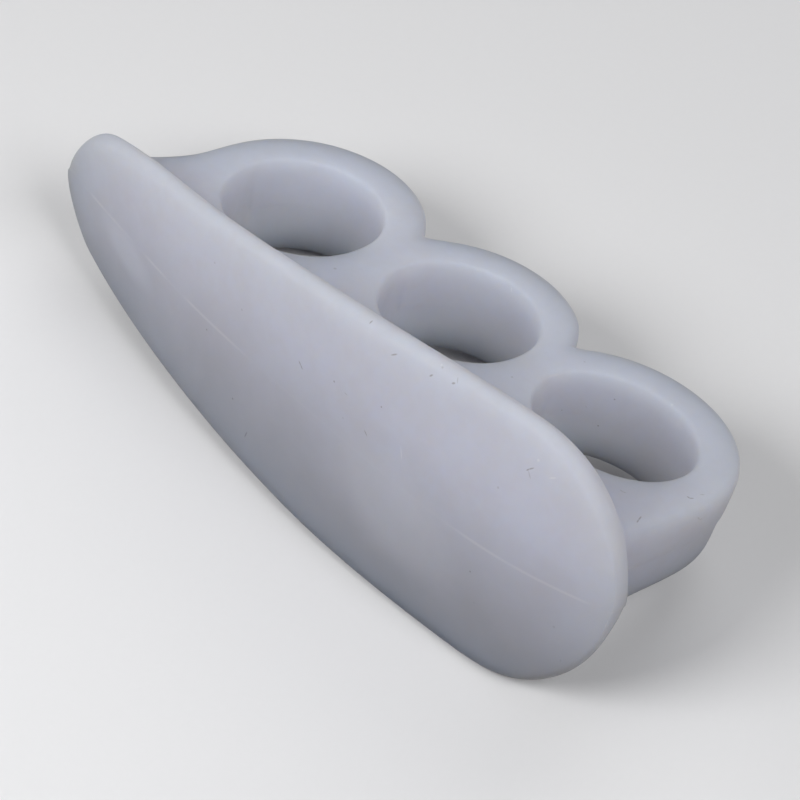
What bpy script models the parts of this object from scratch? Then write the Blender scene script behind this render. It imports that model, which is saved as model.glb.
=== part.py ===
"""Toe separator: a soft crest pad with three toe loops, moulded as one body of clear-white silicone gel.

The body is drawn with its row of loops along X, the crest pad on the -Y side and the mould's parting
plane at Z = 0. It is then laid down as it comes to rest, with the origin under the middle of its box.
"""

import math
from typing import NamedTuple

import bmesh
import bpy
import numpy as np
from mathutils import Matrix, Vector

MM = 0.001

# Row of toe loops
LOOP_PITCH = 20.7 * MM
LOOP_HEIGHT = 10.6 * MM
LOOP_END_WALL = 4.4 * MM
NOTCH_DEPTH = 6.2 * MM
NOTCH_OFFSET = 0.9 * MM
TIP_WEB_FLARE = 4.5 * MM
WIDE_END_TUCK = 1.2 * MM
END_WALL_LEAN = math.radians(9)
RIM_ROUND = 0.8 * MM
EDGE_ROUND = 2.1 * MM


class ToeLoop(NamedTuple):
    """One toe loop: its hole's length and width, its far wall, and how far it stands back to the pad."""

    hole_length: float
    hole_width: float
    far_wall: float
    setback: float


TOE_LOOPS = (
    ToeLoop(16.2 * MM, 16.8 * MM, 4.8 * MM, 1.1 * MM),
    ToeLoop(16.3 * MM, 15.8 * MM, 4.3 * MM, 0.0 * MM),
    ToeLoop(17.4 * MM, 14.1 * MM, 4.3 * MM, 0.1 * MM),
)

# Crest pad
PAD_REACH = 19.3 * MM
PAD_HEIGHT = 29.6 * MM
TIP_LENGTH = 10.8 * MM
WIDE_END_LENGTH = 3.0 * MM
TIP_ROUND = 5.4 * MM
WIDE_END_ROUND = 12.8 * MM
TIP_SETBACK = 7.8 * MM
WIDE_END_SETBACK = 4.5 * MM
CREST_ROUND = 1.5 * MM
FACE_FLATNESS = 2.5
SHOULDER_SQUARENESS = 1.6


class PadSection(NamedTuple):
    """One section across the crest pad: how far its face, crest and back stand behind the pad's reach,
    and how far its top and its bottom each stay inside the pad's height."""

    face: float
    crest: float
    back: float
    inset: float


PAD_SECTIONS = (
    PadSection(7.9 * MM, 9.3 * MM, 12.2 * MM, 9.2 * MM),
    PadSection(5.4 * MM, 6.8 * MM, 10.5 * MM, 6.1 * MM),
    PadSection(2.9 * MM, 4.2 * MM, 9.0 * MM, 4.1 * MM),
    PadSection(0.8 * MM, 2.3 * MM, 8.9 * MM, 1.3 * MM),
    PadSection(0.0 * MM, 2.9 * MM, 10.1 * MM, 0.0 * MM),
    PadSection(2.1 * MM, 4.2 * MM, 10.1 * MM, 0.0 * MM),
)

# Between these two places behind the pad's reach the lean of the loops' walls sets in
LEAN_START = 7.3 * MM
LEAN_FULL = 13.3 * MM

# How finely each stretch of the body is divided before it is smoothed once
NEAR_STEPS = 8
WEB_STEPS = 3
ARC_STEPS = 2
SIDE_STEPS = WEB_STEPS + ARC_STEPS
FAR_STEPS = 8
SHOULDER_STEPS = 3
CREST_STEPS = 3
FACE_STEPS = 2
TIP_STATIONS = (0.06, 0.22, 0.46, 0.74)
WIDE_END_STATIONS = (0.5, 0.84)
END_ARC = math.radians(30)
HOLE_CORNER = math.radians(30)

# Largest share of a wall, of a face or of the pad's height that these may take
WALL_BAND_SHARE = 0.4
RIM_BAND_SHARE = 0.3
EDGE_BAND_SHARE = 0.35
SEAM_HEIGHT_SHARE = 0.6
MERGE_DISTANCE = 0.001 * MM

LOOP_HALF = LOOP_HEIGHT / 2
LAST = len(TOE_LOOPS) - 1


def clear_scene():
    """Remove whatever the open file holds."""
    for obj in list(bpy.data.objects):
        bpy.data.objects.remove(obj, do_unlink=True)


def loop_centre(index):
    """Middle of a toe loop in X and Y."""
    return (index - LAST / 2) * LOOP_PITCH, -TOE_LOOPS[index].setback


def hole_size(index):
    """Half the length and half the width of a toe hole."""
    return TOE_LOOPS[index].hole_length / 2, TOE_LOOPS[index].hole_width / 2


def outer_size(index):
    """Half the length and half the width of a loop's outer oval."""
    length, width = hole_size(index)
    return length + LOOP_END_WALL, width + TOE_LOOPS[index].far_wall


def row_ends():
    """X of the outer walls at the two ends of the row of loops."""
    first, last = loop_centre(0)[0], loop_centre(LAST)[0]
    return first - outer_size(0)[0], last + outer_size(LAST)[0]


def loop_span(index):
    """Left and right limits of a loop's share of the row, where it meets the pad."""
    first, last = row_ends()
    x, _ = loop_centre(index)
    left = first - TIP_WEB_FLARE if index == 0 else x - LOOP_PITCH / 2 - NOTCH_OFFSET
    right = last - WIDE_END_TUCK if index == LAST else x + LOOP_PITCH / 2 - NOTCH_OFFSET
    return left, right


def pad_ends():
    """X of the pad's tip and of its wide end, which reach past the row of loops."""
    first, last = row_ends()
    return first - TIP_LENGTH, last + WIDE_END_LENGTH


def section_places():
    """X of the named sections: the tip, the row's first end, three places by its loops and the wide end."""
    tip, wide_end = pad_ends()
    first, last = loop_centre(0)[0], loop_centre(LAST)[0]
    return np.array([tip, row_ends()[0], first, (first + last) / 2, last, wide_end])


def smooth_value(field, at):
    """Read one measure of the pad at a place along it, on a smooth curve through the named sections."""
    xs = section_places()
    ys = np.array([getattr(section, field) for section in PAD_SECTIONS])
    slopes = np.gradient(ys, xs)
    at = min(max(at, xs[0]), xs[-1])
    i = min(max(int(np.searchsorted(xs, at)) - 1, 0), len(xs) - 2)
    span = xs[i + 1] - xs[i]
    t = (at - xs[i]) / span
    start = (1 + 2 * t) * (1 - t) ** 2 * ys[i] + t * (1 - t) ** 2 * span * slopes[i]
    finish = t * t * (3 - 2 * t) * ys[i + 1] + t * t * (t - 1) * span * slopes[i + 1]
    return float(start + finish)


def end_rounding(at):
    """Share of the full section left at a place along the pad, and the Y that its ends close onto."""
    tip, wide_end = pad_ends()
    near_tip = min(max((at - tip) / TIP_ROUND, 0), 1)
    near_end = min(max((wide_end - at) / WIDE_END_ROUND, 0), 1)
    share = math.sqrt(1 - (1 - near_tip) ** 2) * math.sqrt(1 - (1 - near_end) ** 2)
    setback = TIP_SETBACK if at < (tip + wide_end) / 2 else WIDE_END_SETBACK
    return share, setback - PAD_REACH


def pad_measures(at):
    """Face, crest and back of the pad in Y, and half its height, at a place along it."""
    share, closing = end_rounding(at)
    depths = [smooth_value(name, at) - PAD_REACH for name in ("face", "crest", "back")]
    face, crest, back = (closing + (depth - closing) * share for depth in depths)
    return face, crest, back, (PAD_HEIGHT / 2 - smooth_value("inset", at)) * share


def oval_point(angle, squareness):
    """Point on a squared oval of unit size."""
    c, s = math.cos(angle), math.sin(angle)
    reach = (abs(c) ** squareness + abs(s) ** squareness) ** (-1 / squareness)
    return c * reach, s * reach


def seam_point(at):
    """Where the top of the loops runs into the back of the pad."""
    _, crest, back, half = pad_measures(at)
    z = min(LOOP_HALF, SEAM_HEIGHT_SHARE * half)
    reach = (1 - (z / half) ** SHOULDER_SQUARENESS) ** (1 / SHOULDER_SQUARENESS)
    return Vector((at, crest + (back - crest) * reach, z))


def upper_section(at):
    """Upper half of the pad's section, from the seam over the crest to the middle of the face."""
    face, crest, back, half = pad_measures(at)
    seam = seam_point(at)
    first = math.atan2(seam.z / half, (seam.y - crest) / (back - crest))
    points = [seam]
    for step in range(1, SHOULDER_STEPS + 1):
        angle = first + (math.pi / 2 - first) * step / SHOULDER_STEPS
        out, up = oval_point(angle, SHOULDER_SQUARENESS)
        points.append(Vector((at, crest + (back - crest) * out, half * up)))
    rounding = min(CREST_ROUND, crest - face, half / 2)
    for step in range(1, CREST_STEPS + 1):
        angle = math.pi / 2 * step / CREST_STEPS
        sunk = rounding * (1 - math.cos(angle))
        points.append(Vector((at, crest - rounding * math.sin(angle), half - sunk)))
    for step in range(1, FACE_STEPS + 1):
        share = 1 - step / FACE_STEPS
        bulge = (crest - rounding - face) * share ** FACE_FLATNESS
        points.append(Vector((at, face + bulge, (half - rounding) * share)))
    return points


def wall_column(top, rounding):
    """Points down an upright wall, from its top edge to the parting plane."""
    band = min(rounding, WALL_BAND_SHARE * top.z)
    return [top, Vector((top.x, top.y, top.z - band)), Vector((top.x, top.y, 0))]


def hole_outline(index):
    """Rim of a toe hole, from its lower left corner round by the pad."""
    x, y = loop_centre(index)
    length, width = hole_size(index)
    corner = HOLE_CORNER
    stretches = (
        (corner - math.pi, -corner, NEAR_STEPS),
        (-corner, corner, SIDE_STEPS),
        (corner, math.pi - corner, FAR_STEPS),
        (math.pi - corner, math.pi + corner, SIDE_STEPS),
    )
    points = []
    for first, last, steps in stretches:
        for angle in np.linspace(first, last, steps, endpoint=False):
            points.append(Vector((x + length * math.cos(angle), y + width * math.sin(angle), LOOP_HALF)))
    return points


def outer_point(index, angle):
    """Point on a loop's outer oval, at the height of its top face."""
    x, y = loop_centre(index)
    length, width = outer_size(index)
    return Vector((x + length * math.cos(angle), y + width * math.sin(angle), LOOP_HALF))


def side_outline(index, right):
    """One side of a loop's outline, from the pad to the far side: half the bridge, or the row's end wall."""
    corner = seam_point(loop_span(index)[1 if right else 0])
    if index != (LAST if right else 0):
        following = index if right else index - 1
        far_side = (outer_point(following, math.pi / 2).y + outer_point(following + 1, math.pi / 2).y) / 2
        notch = Vector((corner.x, far_side - NOTCH_DEPTH, LOOP_HALF))
        return [corner.lerp(notch, step / SIDE_STEPS) for step in range(SIDE_STEPS + 1)]
    arc = []
    for angle in np.linspace(0, END_ARC, ARC_STEPS + 1):
        arc.append(outer_point(index, angle if right else math.pi - angle))
    web = []
    for share in np.linspace(0, 1, WEB_STEPS, endpoint=False):
        level = corner.lerp(arc[0], share)
        web.append(Vector((arc[0].x + (corner.x - arc[0].x) * (1 - share) ** 2, level.y, level.z)))
    return web + arc


def far_outline(index):
    """Far side of a loop's outline, from right to left, between its two sides."""
    x, y = loop_centre(index)
    length, width = outer_size(index)
    right, left = side_outline(index, True)[-1], side_outline(index, False)[-1]
    first, last = (math.atan2((point.y - y) / width, (point.x - x) / length) for point in (right, left))
    angles = np.linspace(first, last, FAR_STEPS + 1)[1:-1]
    return [right] + [outer_point(index, angle) for angle in angles] + [left]


def loop_outline(index):
    """Whole outline of a loop's top face, in step with the rim of its hole."""
    left, right = loop_span(index)
    near = [seam_point(x) for x in np.linspace(left, right, NEAR_STEPS + 1)]
    away, back = side_outline(index, True), side_outline(index, False)[::-1]
    return near[:-1] + away[:-1] + far_outline(index)[:-1] + back[:-1]


def add_patch(mesh, rows):
    """Add a grid of four-sided faces above the parting plane, and its mirror image below it."""
    for side in (1, -1):
        grid = [[mesh.verts.new((p.x, p.y, p.z * side)) for p in row] for row in rows]
        for row, following in zip(grid, grid[1:]):
            for a, b, c, d in zip(row, row[1:], following[1:], following):
                mesh.faces.new((a, b, c, d))


def add_top_face(mesh, index):
    """Add a loop's top face, with narrow bands that hold the roundings of the hole and of the outline."""
    rows = []
    for rim, outline in zip(hole_outline(index), loop_outline(index)):
        width = (outline - rim).length
        inner = rim.lerp(outline, min(RIM_ROUND / width, RIM_BAND_SHARE))
        outer = rim.lerp(outline, 1 - min(EDGE_ROUND / width, EDGE_BAND_SHARE))
        rows.append([rim, inner, outer, outline])
    add_patch(mesh, rows + rows[:1])


def add_hole_wall(mesh, index):
    """Add the inner wall of a toe hole."""
    rim = hole_outline(index)
    add_patch(mesh, [wall_column(point, RIM_ROUND) for point in rim + rim[:1]])


def add_outer_walls(mesh):
    """Add the scalloped outer wall round the row of loops, from pad to pad."""
    points = side_outline(LAST, True)[:-1]
    for index in reversed(range(LAST + 1)):
        points += far_outline(index)[:-1]
    points += side_outline(0, False)[::-1]
    add_patch(mesh, [wall_column(point, EDGE_ROUND) for point in points])


def pad_stations():
    """Places along the pad where a section is drawn, in three runs: tip, behind the loops, wide end."""
    tip, wide_end = pad_ends()
    first, last = loop_span(0)[0], loop_span(LAST)[1]
    tip_run = [tip + (first - tip) * share for share in TIP_STATIONS] + [first]
    loop_run = [first]
    for index in range(LAST + 1):
        left, right = loop_span(index)
        loop_run += list(np.linspace(left, right, NEAR_STEPS + 1))[1:]
    end_run = [last] + [last + (wide_end - last) * share for share in WIDE_END_STATIONS]
    return tip_run, loop_run, end_run


def add_cap(mesh, station, end):
    """Close one end of the pad, from its last section to the end point on the parting plane."""
    section = upper_section(station)
    arch = wall_column(section[0], EDGE_ROUND)[::-1] + section[1:]
    for side in (1, -1):
        top = [mesh.verts.new((p.x, p.y, p.z * side)) for p in arch]
        middle = [mesh.verts.new((end, p.y, 0)) for p in arch[1:-1]]
        mesh.faces.new((top[0], top[1], middle[0]))
        mesh.faces.new((top[-2], top[-1], middle[-1]))
        for i in range(len(middle) - 1):
            mesh.faces.new((top[i + 1], top[i + 2], middle[i + 1], middle[i]))


def add_pad(mesh):
    """Add the crest pad's skin, the bare parts of its back and its two closed ends."""
    tip_run, loop_run, end_run = pad_stations()
    stations = tip_run[:-1] + loop_run + end_run[1:]
    add_patch(mesh, [upper_section(at) for at in stations])
    for run in (tip_run, end_run):
        add_patch(mesh, [wall_column(seam_point(at), EDGE_ROUND) for at in run])
    tip, wide_end = pad_ends()
    add_cap(mesh, tip_run[0], tip)
    add_cap(mesh, end_run[-1], wide_end)


def lean_walls(mesh):
    """Lean the loops' walls out along the row towards their top, most at its ends and nothing at the pad."""
    first, last = row_ends()
    slope = math.tan(END_WALL_LEAN) / ((last - first) / 2)
    for vert in mesh.verts:
        behind = vert.co.y + PAD_REACH
        share = min(max((behind - LEAN_START) / (LEAN_FULL - LEAN_START), 0), 1)
        vert.co.x += vert.co.x * vert.co.z * slope * share * share * (3 - 2 * share)


def build_body():
    """Build the whole moulding as one closed mesh, smoothed once."""
    mesh = bmesh.new()
    add_pad(mesh)
    for index in range(LAST + 1):
        add_top_face(mesh, index)
        add_hole_wall(mesh, index)
    add_outer_walls(mesh)
    lean_walls(mesh)
    bmesh.ops.remove_doubles(mesh, verts=mesh.verts, dist=MERGE_DISTANCE)
    bmesh.ops.recalc_face_normals(mesh, faces=mesh.faces)
    data = bpy.data.meshes.new("toe_separator")
    mesh.to_mesh(data)
    mesh.free()
    body = bpy.data.objects.new("toe_separator", data)
    bpy.context.collection.objects.link(body)
    smoothing = body.modifiers.new("Smoothing", "SUBSURF")
    smoothing.levels = 1
    smoothing.render_levels = 1
    data.shade_smooth()
    return body


def smoothed_copy(body):
    """The body's mesh as its modifiers leave it, as triangles."""
    mesh = bmesh.new()
    mesh.from_object(body, bpy.context.evaluated_depsgraph_get())
    bmesh.ops.triangulate(mesh, faces=mesh.faces)
    return mesh


def centre_of_mass(mesh):
    """Middle of the mass that a closed mesh of triangles holds."""
    total, moment = 0.0, Vector()
    for face in mesh.faces:
        a, b, c = (vert.co for vert in face.verts)
        volume = a.dot(b.cross(c)) / 6
        total += volume
        moment += volume * (a + b + c) / 4
    return moment / total


def stable_side(mesh):
    """Direction that points down when the body lies on its loops: the hull's face under the mass."""
    centre = centre_of_mass(mesh)
    hull = bmesh.ops.convex_hull(mesh, input=mesh.verts, use_existing_faces=False)
    best, lowest = Vector((0, 0, -1)), 0.0
    for face in (item for item in hull["geom"] if isinstance(item, bmesh.types.BMFace)):
        a, b, c = (vert.co for vert in face.verts)
        normal = (b - a).cross(c - a).normalized()
        if normal.dot(a - centre) < 0:
            normal.negate()
        foot = centre + normal * normal.dot(a - centre)
        turns = [(q - p).cross(foot - p).dot((b - a).cross(c - a)) for p, q in ((a, b), (b, c), (c, a))]
        if min(turns) >= 0 and normal.z < lowest:
            best, lowest = normal, normal.z
    return best


def lay_down(body):
    """Turn the body to the side it rests on, with the origin under the middle of its box."""
    mesh = smoothed_copy(body)
    turn = stable_side(mesh).rotation_difference(Vector((0, 0, -1))).to_matrix()
    mesh.free()
    body.data.transform(turn.to_4x4())
    mesh = smoothed_copy(body)
    points = np.array([vert.co for vert in mesh.verts])
    mesh.free()
    low, high = points.min(axis=0), points.max(axis=0)
    body.data.transform(Matrix.Translation((-(low[0] + high[0]) / 2, -(low[1] + high[1]) / 2, -low[2])))


def silicone():
    """Clear-white silicone gel."""
    material = bpy.data.materials.new("clear_white_silicone")
    material.use_nodes = True
    shader = material.node_tree.nodes["Principled BSDF"]
    shader.inputs["Base Color"].default_value = (0.72, 0.73, 0.78, 1.0)
    shader.inputs["Roughness"].default_value = 0.4
    shader.inputs["Metallic"].default_value = 0.0
    return material


def main():
    """Build the toe separator."""
    clear_scene()
    body = build_body()
    body.data.materials.append(silicone())
    lay_down(body)


main()
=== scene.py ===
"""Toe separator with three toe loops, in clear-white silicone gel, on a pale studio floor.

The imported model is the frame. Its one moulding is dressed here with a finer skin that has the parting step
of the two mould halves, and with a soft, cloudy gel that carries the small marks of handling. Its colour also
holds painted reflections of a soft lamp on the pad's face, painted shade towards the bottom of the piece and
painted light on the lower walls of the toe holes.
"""

import logging
import math
from dataclasses import dataclass, field
from enum import Enum
from typing import Iterable, Sequence, Union

import bpy
from mathutils import Euler, Matrix, Vector


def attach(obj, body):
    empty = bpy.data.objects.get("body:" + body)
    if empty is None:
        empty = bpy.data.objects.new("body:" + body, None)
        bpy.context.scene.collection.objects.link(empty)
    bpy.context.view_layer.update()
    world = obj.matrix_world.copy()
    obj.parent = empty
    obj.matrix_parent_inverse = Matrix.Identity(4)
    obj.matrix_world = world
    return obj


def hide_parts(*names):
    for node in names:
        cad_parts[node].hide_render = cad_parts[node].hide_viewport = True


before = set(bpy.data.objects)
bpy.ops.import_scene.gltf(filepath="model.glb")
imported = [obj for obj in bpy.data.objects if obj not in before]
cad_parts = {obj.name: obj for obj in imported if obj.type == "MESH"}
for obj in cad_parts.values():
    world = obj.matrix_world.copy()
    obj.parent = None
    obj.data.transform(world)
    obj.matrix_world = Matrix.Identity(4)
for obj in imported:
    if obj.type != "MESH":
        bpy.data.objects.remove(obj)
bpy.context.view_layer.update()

LOG = logging.getLogger("toe_separator")
MM = 0.001

Colour = tuple[float, float, float]
Point = tuple[float, float, float]


class Lamp(Enum):
    """Soft lamps of the studio, by where they hang."""

    WIDE_END = "beside the wide end"
    FRONT = "in front and above"
    FRONT_LOW = "low in front"
    BACK = "behind"


@dataclass(frozen=True)
class PartingPlane:
    """Plane where the two mould halves met, at rest, with its origin in the middle of the second loop."""

    origin: Vector = Vector((3.726, 4.157, 8.936)) * MM
    along: Vector = Vector((0.9987, 0.0065, 0.051))
    across: Vector = Vector((0.0065, 0.9682, -0.25))
    up: Vector = Vector((-0.051, 0.25, 0.9669))

    def height(self, point: Vector) -> float:
        """Give a point's height above the plane.

        Args:
            point: A point of the moulding at rest, in metres.

        Returns:
            The height, in metres, less than 0 below the plane.
        """
        return (point - self.origin).dot(self.up)

    def point(self, along: float, across: float) -> Vector:
        """Give a point of the plane.

        Args:
            along: Its place along the row of loops, from the origin, in metres.
            across: Its place across the row, in metres.

        Returns:
            The point at rest, in metres.
        """
        return self.origin + self.along * along + self.across * across

    def turn(self) -> Euler:
        """The turn from the axes at rest to the plane's own directions."""
        return Matrix((self.along, self.across, self.up)).transposed().to_euler()


class Tone(Enum):
    """How a mark stands out from the gel."""

    FAINT = "faint"
    DARK = "dark"
    LIGHT = "light"
    # Painted reflection of a soft lamp on the pad's face.
    BLOOM = "painted_reflection"


@dataclass(frozen=True)
class Mark:
    """A speck, scuff or hair of lint on the skin, or a painted reflection of a lamp, from end to end, in
    millimetres.
    """

    start: Point
    end: Point
    half_width: float
    tone: Tone


@dataclass(frozen=True)
class StainAndPaintedReflection:
    """Colour of all marks of one tone, and how much of it shows. One tone is a painted reflection of a lamp,
    not a stain.
    """

    tone: Tone
    colour: Colour
    strength: float


@dataclass(frozen=True)
class ToeHole:
    """Hole of a toe loop: its middle on the parting plane and half its length and width, in millimetres."""

    along: float
    across: float
    half_length: float
    half_width: float


def speck(x: float, y: float, z: float, half_width: float, tone: Tone) -> Mark:
    """Make a mark without length.

    Args:
        x: Its place along the row, in millimetres.
        y: Its place across the row, in millimetres.
        z: Its height, in millimetres.
        half_width: Half its width, in millimetres.
        tone: How it stands out.

    Returns:
        The mark.
    """
    return Mark((x, y, z), (x, y, z), half_width, tone)


def lint(points: Sequence[Point], half_width: float, tone: Tone) -> list[Mark]:
    """Make a bent hair of straight stretches.

    Args:
        points: Its corners, in millimetres.
        half_width: Half its width, in millimetres.
        tone: How it stands out.

    Returns:
        One mark for each stretch.
    """
    return [Mark(start, end, half_width, tone) for start, end in zip(points, points[1:])]


SKIN_MARKS_AND_PAINTED_REFLECTIONS: tuple[Mark, ...] = (
    # The first two marks are painted reflections of a soft lamp on the pad's face; the rest are specks, scuffs
    # and lint.
    Mark((-30.8, -9.4, 9.4), (-24.4, -11.2, 8.9), 1.9, Tone.BLOOM),
    Mark((12.5, -14.6, 12.0), (19.0, -14.8, 10.5), 5.6, Tone.BLOOM),
    speck(5.00, -12.55, 18.67, 0.12, Tone.DARK),
    speck(11.36, -12.48, 20.35, 0.11, Tone.DARK),
    *lint([(15.46, -10.31, 26.48), (15.64, -10.21, 26.69)], 0.10, Tone.DARK),
    speck(26.17, -14.95, 11.51, 0.12, Tone.DARK),
    speck(27.33, -15.44, 8.34, 0.12, Tone.FAINT),
    speck(-13.04, -12.65, 11.28, 0.11, Tone.DARK),
    speck(-8.85, -11.77, 16.91, 0.13, Tone.FAINT),
    speck(-13.97, -10.66, 18.67, 0.12, Tone.FAINT),
    speck(-7.41, -14.39, 7.17, 0.12, Tone.DARK),
    *lint([(-4.65, -15.32, 4.59), (-4.51, -15.18, 5.23)], 0.09, Tone.DARK),
    speck(16.18, -9.47, 27.63, 0.12, Tone.FAINT),
    speck(26.39, -12.01, 21.51, 0.13, Tone.FAINT),
    speck(35.62, -13.32, 10.68, 0.16, Tone.FAINT),
    *lint([(37.09, -13.71, 7.15), (37.09, -13.65, 7.40)], 0.10, Tone.FAINT),
    *lint([(0.07, -12.50, 17.39), (0.38, -12.57, 17.19), (0.70, -12.66, 16.95)], 0.085, Tone.DARK),
    *lint([(10.14, -13.44, 16.72), (10.60, -13.55, 16.42)], 0.08, Tone.DARK),
    *lint([(7.01, -9.99, 26.58), (7.05, -9.69, 26.72)], 0.09, Tone.DARK),
    *lint([(10.69, -10.67, 25.70), (11.23, -10.50, 26.13)], 0.09, Tone.DARK),
    *lint([(17.96, -9.89, 27.22), (18.14, -9.81, 27.34)], 0.11, Tone.DARK),
    *lint([(18.41, -9.71, 27.49), (18.11, -9.38, 27.78)], 0.07, Tone.FAINT),
    *lint([(28.46, -10.54, 24.60), (28.62, -10.43, 24.80), (29.01, -10.23, 25.14)], 0.08, Tone.DARK),
    *lint([(28.64, -10.51, 24.62), (29.09, -10.68, 24.08)], 0.07, Tone.FAINT),
    speck(7.18, -13.42, 15.96, 0.10, Tone.FAINT),
    *lint([(6.59, -12.70, 18.54), (6.96, -12.73, 18.53)], 0.07, Tone.FAINT),
    speck(19.98, 10.56, 10.90, 0.12, Tone.DARK),
    speck(16.50, 6.90, 9.25, 0.11, Tone.DARK),
    speck(19.26, 9.28, 7.31, 0.11, Tone.DARK),
    speck(16.19, 10.06, 13.55, 0.10, Tone.FAINT),
    speck(15.81, 4.35, 12.21, 0.11, Tone.FAINT),
    *lint([(17.88, 8.76, 9.65), (18.05, 8.84, 9.29)], 0.09, Tone.FAINT),
    *lint([(-4.70, 4.92, 12.39), (-4.73, 4.97, 12.70), (-4.71, 5.31, 12.44)], 0.075, Tone.DARK),
    speck(-8.10, -0.21, 14.92, 0.18, Tone.FAINT),
    speck(13.99, 2.31, 15.44, 0.14, Tone.FAINT),
    speck(34.06, -6.76, 25.00, 0.10, Tone.FAINT),
    *lint([(31.87, -1.29, 17.31), (32.17, -1.30, 17.33), (32.43, -1.14, 17.30)], 0.08, Tone.FAINT),
    *lint([(36.10, 3.38, 16.33), (36.39, 3.37, 16.34), (36.58, 3.66, 16.26)], 0.085, Tone.DARK),
    *lint([(36.59, 4.67, 16.00), (36.77, 4.92, 15.94)], 0.08, Tone.FAINT),
    *lint([(37.76, 3.06, 15.13), (37.74, 3.42, 14.46), (37.74, 3.79, 14.30)], 0.11, Tone.DARK),
    *lint([(36.00, -3.44, 17.92), (35.85, -3.00, 17.93), (35.66, -2.47, 17.79)], 0.085, Tone.DARK),
    speck(25.58, 12.48, 13.34, 0.14, Tone.LIGHT),
    speck(15.93, -9.33, 27.67, 0.12, Tone.LIGHT),
    speck(-4.35, 2.89, 12.27, 0.12, Tone.LIGHT),
    speck(29.15, -9.83, 26.03, 0.16, Tone.LIGHT),
    Mark((30.79, -9.97, 25.09), (31.36, -9.75, 25.41), 0.09, Tone.LIGHT),
    Mark((14.88, -13.27, 18.28), (15.42, -13.63, 17.16), 0.08, Tone.LIGHT),
    Mark((3.29, 12.94, 11.65), (3.41, 12.82, 11.25), 0.08, Tone.LIGHT),
)


Operand = Union["Wire", float, int]


class Wire:
    """One output socket that takes part in arithmetic. Each step adds a Math node."""

    def __init__(self, graph: "Graph", socket: bpy.types.NodeSocket) -> None:
        """Keep the socket and the graph that it belongs to."""
        self.graph = graph
        self.socket = socket

    def _math(self, operation: str, first: Operand, second: Operand) -> "Wire":
        """Add one Math node.

        Args:
            operation: The Math node's operation.
            first: Its first value.
            second: Its second value.

        Returns:
            The node's result.
        """
        return self.graph.node("ShaderNodeMath", {"operation": operation}, {0: first, 1: second})

    def __add__(self, other: Operand) -> "Wire":
        """Sum."""
        return self._math("ADD", self, other)

    __radd__ = __add__

    def __sub__(self, other: Operand) -> "Wire":
        """Difference."""
        return self._math("SUBTRACT", self, other)

    def __rsub__(self, other: Operand) -> "Wire":
        """Difference from a plain number."""
        return self._math("SUBTRACT", other, self)

    def __mul__(self, other: Operand) -> "Wire":
        """Product."""
        return self._math("MULTIPLY", self, other)

    __rmul__ = __mul__

    def __abs__(self) -> "Wire":
        """Size without its sign."""
        return self._math("ABSOLUTE", self, 0.0)

    def larger(self, other: Operand) -> "Wire":
        """The larger of two values."""
        return self._math("MAXIMUM", self, other)

    def smaller(self, other: Operand) -> "Wire":
        """The smaller of two values."""
        return self._math("MINIMUM", self, other)


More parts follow.
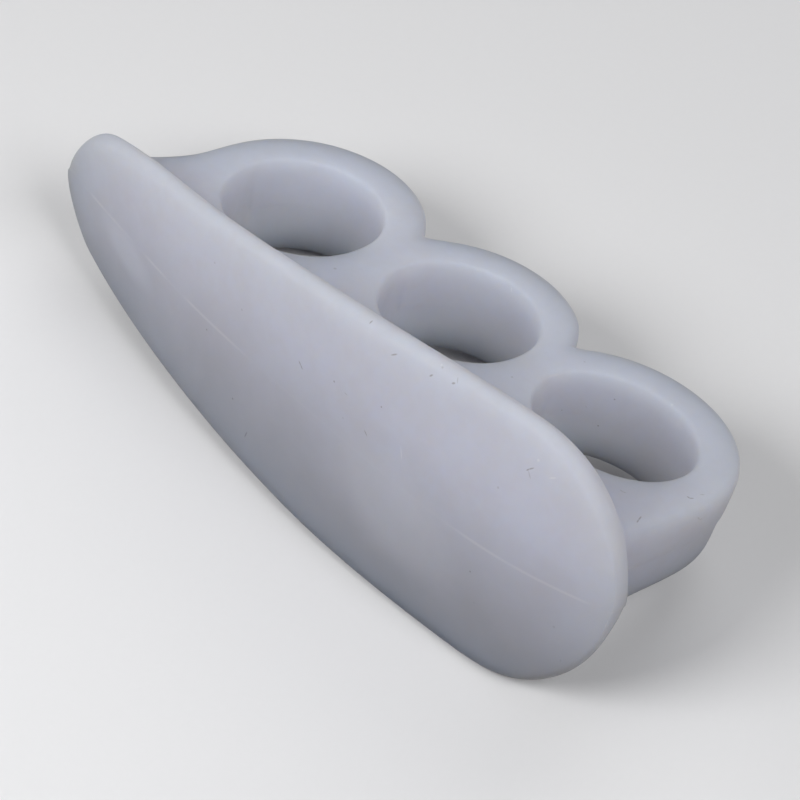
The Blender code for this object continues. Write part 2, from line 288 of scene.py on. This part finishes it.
class Graph:
    """Node tree of one material, filled through one method."""

    def __init__(self, name: str) -> None:
        """Start a material with only its surface shader and its output."""
        self.material = bpy.data.materials.new(name)
        self.material.use_nodes = True
        self.tree = self.material.node_tree
        self.shader = self.tree.nodes["Principled BSDF"]

    def node(self, kind: str, settings: dict, inputs: dict, result: Union[int, str] = 0) -> Wire:
        """Add a node.

        Args:
            kind: The node's type.
            settings: Its own settings by name, made before its sockets are filled.
            inputs: Values or wires by socket name or number.
            result: Which output to hand back.

        Returns:
            The chosen output.
        """
        made = self.tree.nodes.new(kind)
        for name, value in settings.items():
            setattr(made, name, value)
        self.fill(made, inputs)
        return Wire(self, made.outputs[result])

    def fill(self, node: bpy.types.Node, inputs: dict) -> None:
        """Set or link a node's sockets.

        Args:
            node: The node to fill.
            inputs: Values or wires by socket name or number.
        """
        for key, value in inputs.items():
            if isinstance(value, Wire):
                self.tree.links.new(value.socket, node.inputs[key])
            else:
                node.inputs[key].default_value = value

    def vector(self, operation: str, inputs: dict, result: Union[int, str] = 0) -> Wire:
        """Add a Vector Math node.

        Args:
            operation: The node's operation.
            inputs: Values or wires by socket name or number.
            result: Which output to hand back.

        Returns:
            The chosen output.
        """
        return self.node("ShaderNodeVectorMath", {"operation": operation}, inputs, result)

    def place(self) -> Wire:
        """The point that is shaded, in the object's own coordinates."""
        return self.node("ShaderNodeTexCoord", {}, {}, "Object")

    def noise(self, at: Wire, size: float, detail: float = 2.0) -> Wire:
        """Add a noise.

        Args:
            at: Where it is read.
            size: The size of its patches, in metres.
            detail: How many finer layers it has.

        Returns:
            Its value, about 0.5 on average.
        """
        return self.node("ShaderNodeTexNoise", {}, {"Vector": at, "Scale": 1 / size, "Detail": detail}, "Fac")

    def fade(self, value: Wire, low: float, high: float) -> Wire:
        """Turn a value into a smooth mask.

        Args:
            value: The value to judge.
            low: Where the mask is 0.
            high: Where the mask is 1.

        Returns:
            A mask from 0 to 1.
        """
        limits = (low, high, 0.0, 1.0) if low < high else (high, low, 1.0, 0.0)
        inputs = dict(zip(("From Min", "From Max", "To Min", "To Max"), limits))
        return self.node("ShaderNodeMapRange", {"interpolation_type": "SMOOTHSTEP"}, {"Value": value, **inputs})

    def mix(self, mask: Operand, first: Union[Wire, Colour], second: Union[Wire, Colour]) -> Wire:
        """Blend two colours.

        Args:
            mask: Share of the second colour.
            first: Colour where the mask is 0.
            second: Colour where the mask is 1.

        Returns:
            The blended colour.
        """
        ends = {6: self._colour(first), 7: self._colour(second)}
        return self.node("ShaderNodeMix", {"data_type": "RGBA"}, {0: mask, **ends}, 2)

    def ellipsoid(self, at: Wire, middle: Vector, turn: Euler, halves: Point) -> Wire:
        """Measure how far out of an ellipsoid a point is.

        Args:
            at: The point.
            middle: The ellipsoid's middle, in metres.
            turn: Its turn.
            halves: Half its three sizes, in metres.

        Returns:
            0 in the middle, 1 on the ellipsoid and more outside.
        """
        inputs = {"Vector": at, "Location": middle, "Rotation": turn, "Scale": halves}
        local = self.node("ShaderNodeMapping", {"vector_type": "TEXTURE"}, inputs)
        return self.vector("LENGTH", {0: local}, "Value")

    @staticmethod
    def _colour(value: Union[Wire, Colour]) -> Union[Wire, tuple]:
        """A wire as it is, or a plain colour with its alpha."""
        return value if isinstance(value, Wire) else (*value, 1.0)


@dataclass(frozen=True)
class SiliconeGel:
    """Clear-white silicone gel: a satin skin over a milky body that light sinks deep into.

    Each pair of limits gives where a mask is 0 and where it is 1.
    """

    name: str = "clear_white_silicone"
    body: Colour = (0.59, 0.615, 0.735)
    cloud: Colour = (0.575, 0.59, 0.69)
    # Colour of the painted shade towards the pad's lower edge.
    painted_lower_shade: Colour = (0.375, 0.38, 0.435)
    # Colour of the painted light on the lower walls of the toe holes.
    painted_hole_light: Colour = (0.82, 0.81, 0.83)
    flash: Colour = (0.76, 0.76, 0.79)
    stains_and_painted_reflections: tuple[StainAndPaintedReflection, ...] = (
        StainAndPaintedReflection(Tone.FAINT, (0.30, 0.30, 0.34), 0.38),
        StainAndPaintedReflection(Tone.DARK, (0.16, 0.15, 0.17), 0.52),
        StainAndPaintedReflection(Tone.LIGHT, (0.80, 0.81, 0.86), 0.34),
        # Paler colour of the painted reflections of the lamp.
        StainAndPaintedReflection(Tone.BLOOM, (0.66, 0.68, 0.77), 0.28),
    )
    marks: tuple[Mark, ...] = SKIN_MARKS_AND_PAINTED_REFLECTIONS
    mark_limits: tuple[float, float] = (1.25, 0.45)
    plane: PartingPlane = PartingPlane()
    holes: tuple[ToeHole, ...] = (
        ToeHole(-20.7, -1.1, 8.5, 8.8),
        ToeHole(0.0, 0.0, 8.5, 8.3),
        ToeHole(20.7, -0.1, 9.1, 7.5),
    )
    hole_limits: tuple[float, float] = (1.14, 1.0)
    painted_hole_light_heights: tuple[float, float] = (3.5 * MM, -4.5 * MM)
    painted_hole_light_share: float = 0.6
    painted_shade_direction: Vector = Vector((0.0, 0.7, 1.0))
    painted_shade_limits: tuple[float, float] = (14.0 * MM, -8.0 * MM)
    flash_limits: tuple[float, float] = (0.24 * MM, 0.048 * MM)
    flash_middle: float = 4.0 * MM
    flash_ends: tuple[float, float] = (13.5 * MM, 18.5 * MM)
    flash_face: tuple[float, float] = (-8.0 * MM, -10.0 * MM)
    flash_breaks: tuple[float, float] = (0.32, 0.5)
    flash_share: float = 0.25
    cloud_size: float = 7.0 * MM
    cloud_limits: tuple[float, float] = (0.35, 0.65)
    mottle_size: float = 1.4 * MM
    grain_size: float = 0.22 * MM
    scatter_depth: float = 20.0 * MM
    scatter_colour: Colour = (1.0, 0.8, 0.6)
    roughness: float = 0.6
    mottle_roughness: float = 0.16
    grain_roughness: float = 0.12
    bump_height: float = 0.02 * MM
    bump_strength: float = 0.4
    refraction: float = 1.41
    specular: float = 0.35

    def build(self) -> bpy.types.Material:
        """Make the material.

        Returns:
            The finished material.
        """
        graph = Graph(self.name)
        place = graph.place()
        clouds = graph.noise(place, self.cloud_size, 3.0)
        mottle = graph.noise(place, self.mottle_size)
        grain = graph.noise(place, self.grain_size)
        flash = self._flash(graph, place) * graph.fade(clouds, *self.flash_breaks)
        colour = graph.mix(graph.fade(clouds * 0.7 + mottle * 0.3, *self.cloud_limits), self.body, self.cloud)
        # Painted shade: the gel is darkened towards the bottom of the piece.
        colour = graph.mix(self._painted_lower_shade_mask(graph, place) * (0.8 + clouds * 0.4), colour, self.painted_lower_shade)
        # Painted light: the lower walls of the toe holes are made paler.
        colour = graph.mix(self._painted_hole_light_mask(graph, place) * self.painted_hole_light_share, colour, self.painted_hole_light)
        colour = graph.mix(flash * self.flash_share, colour, self.flash)
        for stain_or_painted_reflection in self.stains_and_painted_reflections:
            colour = graph.mix(self._mask(graph, place, stain_or_painted_reflection.tone) * stain_or_painted_reflection.strength, colour, stain_or_painted_reflection.colour)
        relief = {
            "Strength": self.bump_strength,
            "Distance": self.bump_height,
            "Height": grain * 0.4 + mottle * 0.6,
        }
        uneven = (mottle - 0.5) * self.mottle_roughness + (grain - 0.5) * self.grain_roughness
        inputs = {
            "Base Color": colour,
            "Roughness": uneven + self.roughness + flash * 0.1,
            "Normal": graph.node("ShaderNodeBump", {}, relief),
            "Subsurface Weight": 1.0,
            "Subsurface Radius": self.scatter_colour,
            "Subsurface Scale": self.scatter_depth,
            "IOR": self.refraction,
            "Specular IOR Level": self.specular,
        }
        graph.fill(graph.shader, inputs)
        return graph.material

    def _from_plane(self, graph: Graph, place: Wire, direction: Vector) -> Wire:
        """Distance of the point that is shaded from the parting plane's origin, in one direction.

        Args:
            graph: The material's graph.
            place: The point that is shaded.
            direction: One of the plane's own directions.

        Returns:
            The distance, in metres.
        """
        offset = graph.vector("SUBTRACT", {0: place, 1: self.plane.origin})
        return graph.vector("DOT_PRODUCT", {0: offset, 1: direction}, "Value")

    def _painted_lower_shade_mask(self, graph: Graph, place: Wire) -> Wire:
        """Mask of the painted shade that darkens the piece towards the pad's lower edge.

        Args:
            graph: The material's graph.
            place: The point that is shaded.

        Returns:
            0 on the thick body and 1 at the lower edge.
        """
        rise = graph.vector("DOT_PRODUCT", {0: place, 1: self.painted_shade_direction}, "Value")
        return graph.fade(rise, *self.painted_shade_limits)

    def _painted_hole_light_mask(self, graph: Graph, place: Wire) -> Wire:
        """Mask of the painted light on the lower walls of the toe holes, which stands in for the light that
        crosses the gel.

        Args:
            graph: The material's graph.
            place: The point that is shaded.

        Returns:
            1 on the lower walls and 0 away from them.
        """
        nearest: Operand = 9.0
        for hole in self.holes:
            middle = self.plane.point(hole.along * MM, hole.across * MM)
            halves = (hole.half_length * MM, hole.half_width * MM, 1.0)
            nearest = graph.ellipsoid(place, middle, self.plane.turn(), halves).smaller(nearest)
        height = self._from_plane(graph, place, self.plane.up)
        return graph.fade(nearest, *self.hole_limits) * graph.fade(height, *self.painted_hole_light_heights)

    def _flash(self, graph: Graph, place: Wire) -> Wire:
        """Mask of the fine line that the mould's parting left on the pad's face, plainer in the middle.

        Args:
            graph: The material's graph.
            place: The point that is shaded.

        Returns:
            1 on the line and 0 beside it.
        """
        height = self._from_plane(graph, place, self.plane.up)
        reach = self._from_plane(graph, place, self.plane.across)
        along = self._from_plane(graph, place, self.plane.along)
        ends = graph.fade(abs(along - self.flash_middle), *self.flash_ends) * 0.85 + 0.15
        return graph.fade(abs(height), *self.flash_limits) * ends * graph.fade(reach, *self.flash_face)

    def _mask(self, graph: Graph, place: Wire, tone: Tone) -> Wire:
        """Mask of all marks of one tone, each a long ellipsoid.

        Args:
            graph: The material's graph.
            place: The point that is shaded.
            tone: The tone of the marks.

        Returns:
            1 on a mark and 0 beside them all.
        """
        nearest: Operand = 9.0
        for mark in (item for item in self.marks if item.tone is tone):
            start, end = Vector(mark.start) * MM, Vector(mark.end) * MM
            run, width = end - start, mark.half_width * MM
            turn = run.to_track_quat("X", "Z").to_euler() if run.length > 0 else Euler()
            halves = (run.length / 2 + width, width, width)
            nearest = graph.ellipsoid(place, (start + end) / 2, turn, halves).smaller(nearest)
        return graph.fade(nearest, *self.mark_limits)


@dataclass
class Moulding:
    """The crest pad with its three toe loops: the one piece of the object."""

    node: str = "toe_separator"
    plane: PartingPlane = field(default_factory=PartingPlane)
    step: float = 0.22 * MM
    step_height: float = 0.12 * MM
    merge_distance: float = 0.002 * MM
    flatness: float = math.radians(40)
    squareness: float = math.radians(60)
    smoothing_levels: int = 2
    finish: SiliconeGel = field(default_factory=SiliconeGel)

    def build(self) -> bpy.types.Object:
        """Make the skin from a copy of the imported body.

        Returns:
            The finished piece, dressed and riding on the body.
        """
        skin = self._copy()
        self._join_up(skin)
        self._cut_parting_line()
        self._step_halves(skin)
        self._smooth(skin)
        skin.data.materials.clear()
        skin.data.materials.append(self.finish.build())
        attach(skin, "root")
        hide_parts(self.node)
        return skin

    def _copy(self) -> bpy.types.Object:
        """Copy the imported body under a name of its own.

        Returns:
            The copy, selected and active, with no parent.
        """
        bpy.ops.object.select_all(action="DESELECT")
        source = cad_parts[self.node]
        skin = bpy.data.objects.new("toe_separator_skin", source.data.copy())
        bpy.context.scene.collection.objects.link(skin)
        skin.select_set(True)
        bpy.context.view_layer.objects.active = skin
        return skin

    def _join_up(self, skin: bpy.types.Object) -> None:
        """Merge the loose triangles and pair them into four-sided faces.

        Args:
            skin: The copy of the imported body.
        """
        bpy.ops.object.mode_set(mode="EDIT")
        bpy.ops.mesh.select_all(action="SELECT")
        bpy.ops.mesh.remove_doubles(threshold=self.merge_distance)
        bpy.ops.mesh.tris_convert_to_quads(face_threshold=self.flatness, shape_threshold=self.squareness)
        bpy.ops.mesh.customdata_custom_splitnormals_clear()
        bpy.ops.object.mode_set(mode="OBJECT")
        LOG.info("%s is joined up into %d faces", skin.name, len(skin.data.polygons))

    def _cut_parting_line(self) -> None:
        """Cut the active skin a little below the parting plane, where the step between the halves ends."""
        bpy.ops.object.mode_set(mode="EDIT")
        bpy.ops.mesh.select_all(action="SELECT")
        foot = self.plane.origin - self.plane.up * self.step_height
        bpy.ops.mesh.bisect(plane_co=foot, plane_no=self.plane.up)
        bpy.ops.mesh.select_all(action="DESELECT")
        bpy.ops.object.mode_set(mode="OBJECT")

    def _step_halves(self, skin: bpy.types.Object) -> None:
        """Slide the two halves apart along the row, as the mould halves met slightly out of line.

        Args:
            skin: The cut skin.
        """
        half = self.plane.along * self.step / 2
        for vertex in skin.data.vertices:
            vertex.co += half if self.plane.height(vertex.co) > -self.step_height / 2 else -half

    def _smooth(self, skin: bpy.types.Object) -> None:
        """Round the skin off between its faces.

        Args:
            skin: The stepped skin.
        """
        smoothing = skin.modifiers.new("Smoothing", "SUBSURF")
        smoothing.levels = self.smoothing_levels
        smoothing.render_levels = self.smoothing_levels
        bpy.ops.object.modifier_apply(modifier=smoothing.name)
        bpy.ops.object.shade_smooth()


@dataclass(frozen=True)
class SoftLamp:
    """A round soft lamp that faces the object, with angles in degrees, lengths in metres and power in watts."""

    kind: Lamp
    azimuth: float
    elevation: float
    distance: float
    width: float
    power: float

    def hang(self) -> None:
        """Make the lamp."""
        data = bpy.data.lights.new(self.kind.value, "AREA")
        data.shape = "DISK"
        data.size = self.width
        data.energy = self.power
        lamp = bpy.data.objects.new(self.kind.value, data)
        bpy.context.scene.collection.objects.link(lamp)
        turn, rise = math.radians(self.azimuth), math.radians(self.elevation)
        toward = Vector((math.cos(turn) * math.cos(rise), math.sin(turn) * math.cos(rise), math.sin(rise)))
        lamp.location = toward * self.distance
        lamp.rotation_euler = (-toward).to_track_quat("-Z", "Y").to_euler()


@dataclass
class Studio:
    """Pale floor, soft lamps, a dim sky and the camera."""

    floor_side: float = 2.4
    floor_colour: Colour = (0.86, 0.86, 0.87)
    floor_bounce: Colour = (0.18, 0.175, 0.17)
    floor_roughness: float = 0.9
    speckle_size: float = 0.7 * MM
    speckle_shade: float = 0.985
    sky_colour: Colour = (0.97, 0.98, 1.0)
    sky_strength: float = 0.06
    lamps: tuple[SoftLamp, ...] = (
        SoftLamp(Lamp.WIDE_END, 0.0, 46.0, 0.8, 0.45, 2.75),
        SoftLamp(Lamp.FRONT, 252.0, 45.0, 0.35, 0.2, 0.655),
        SoftLamp(Lamp.FRONT_LOW, 210.0, 22.0, 0.8, 0.45, 0.7),
        SoftLamp(Lamp.BACK, 110.0, 45.0, 0.8, 0.6, 1.3),
    )
    eye: Vector = Vector((193.67, -190.73, 313.56)) * MM
    aim: Vector = Vector((-0.70, 1.91, 0.0)) * MM
    roll: float = math.radians(1.665)
    lens: float = 187.69
    sensor: float = 36.0

    def build(self) -> None:
        """Make everything around the object."""
        self._floor()
        self._sky()
        for lamp in self.lamps:
            lamp.hang()
        self._camera()
        bpy.context.scene.view_settings.view_transform = "Standard"

    def _floor(self) -> None:
        """Lay the floor. It looks pale, and throws little light back at the object."""
        bpy.ops.object.select_all(action="DESELECT")
        bpy.ops.mesh.primitive_plane_add(size=self.floor_side, location=(0, 0, 0))
        floor = bpy.context.active_object
        floor.name = "floor"
        graph = Graph("pale_floor")
        seen = graph.node("ShaderNodeLightPath", {}, {}, "Is Camera Ray")
        for ray in ("Is Glossy Ray", "Is Transmission Ray"):
            seen = seen.larger(graph.node("ShaderNodeLightPath", {}, {}, ray))
        speckle = graph.noise(graph.place(), self.speckle_size)
        darker = tuple(value * self.speckle_shade for value in self.floor_colour)
        pale = graph.mix(speckle, self.floor_colour, darker)
        inputs = {"Base Color": graph.mix(seen, self.floor_bounce, pale), "Roughness": self.floor_roughness}
        graph.fill(graph.shader, inputs)
        floor.data.materials.append(graph.material)

    def _sky(self) -> None:
        """Light the object a little from all round."""
        world = bpy.data.worlds.new("pale_sky")
        world.use_nodes = True
        background = world.node_tree.nodes["Background"]
        background.inputs["Color"].default_value = (*self.sky_colour, 1.0)
        background.inputs["Strength"].default_value = self.sky_strength
        bpy.context.scene.world = world

    def _camera(self) -> None:
        """Stand the camera where the photograph was taken from."""
        data = bpy.data.cameras.new("camera")
        data.lens = self.lens
        data.sensor_width = self.sensor
        camera = bpy.data.objects.new("camera", data)
        bpy.context.scene.collection.objects.link(camera)
        look = (self.aim - self.eye).normalized()
        right = look.cross(Vector((0, 0, 1))).normalized()
        up = right.cross(look)
        turned = right * math.cos(self.roll) + up * math.sin(self.roll)
        top = turned.cross(look)
        axes = Matrix((turned, top, -look)).transposed()
        camera.matrix_world = Matrix.Translation(self.eye) @ axes.to_4x4()
        bpy.context.scene.camera = camera


def main() -> None:
    """Dress the moulding and build the studio round it."""
    logging.basicConfig(level=logging.INFO, format="%(name)s: %(message)s")
    skin = Moulding().build()
    LOG.info("%s has %d faces", skin.name, len(skin.data.polygons))
    Studio().build()
    LOG.info("studio built")


if __name__ == "__main__":
    main()
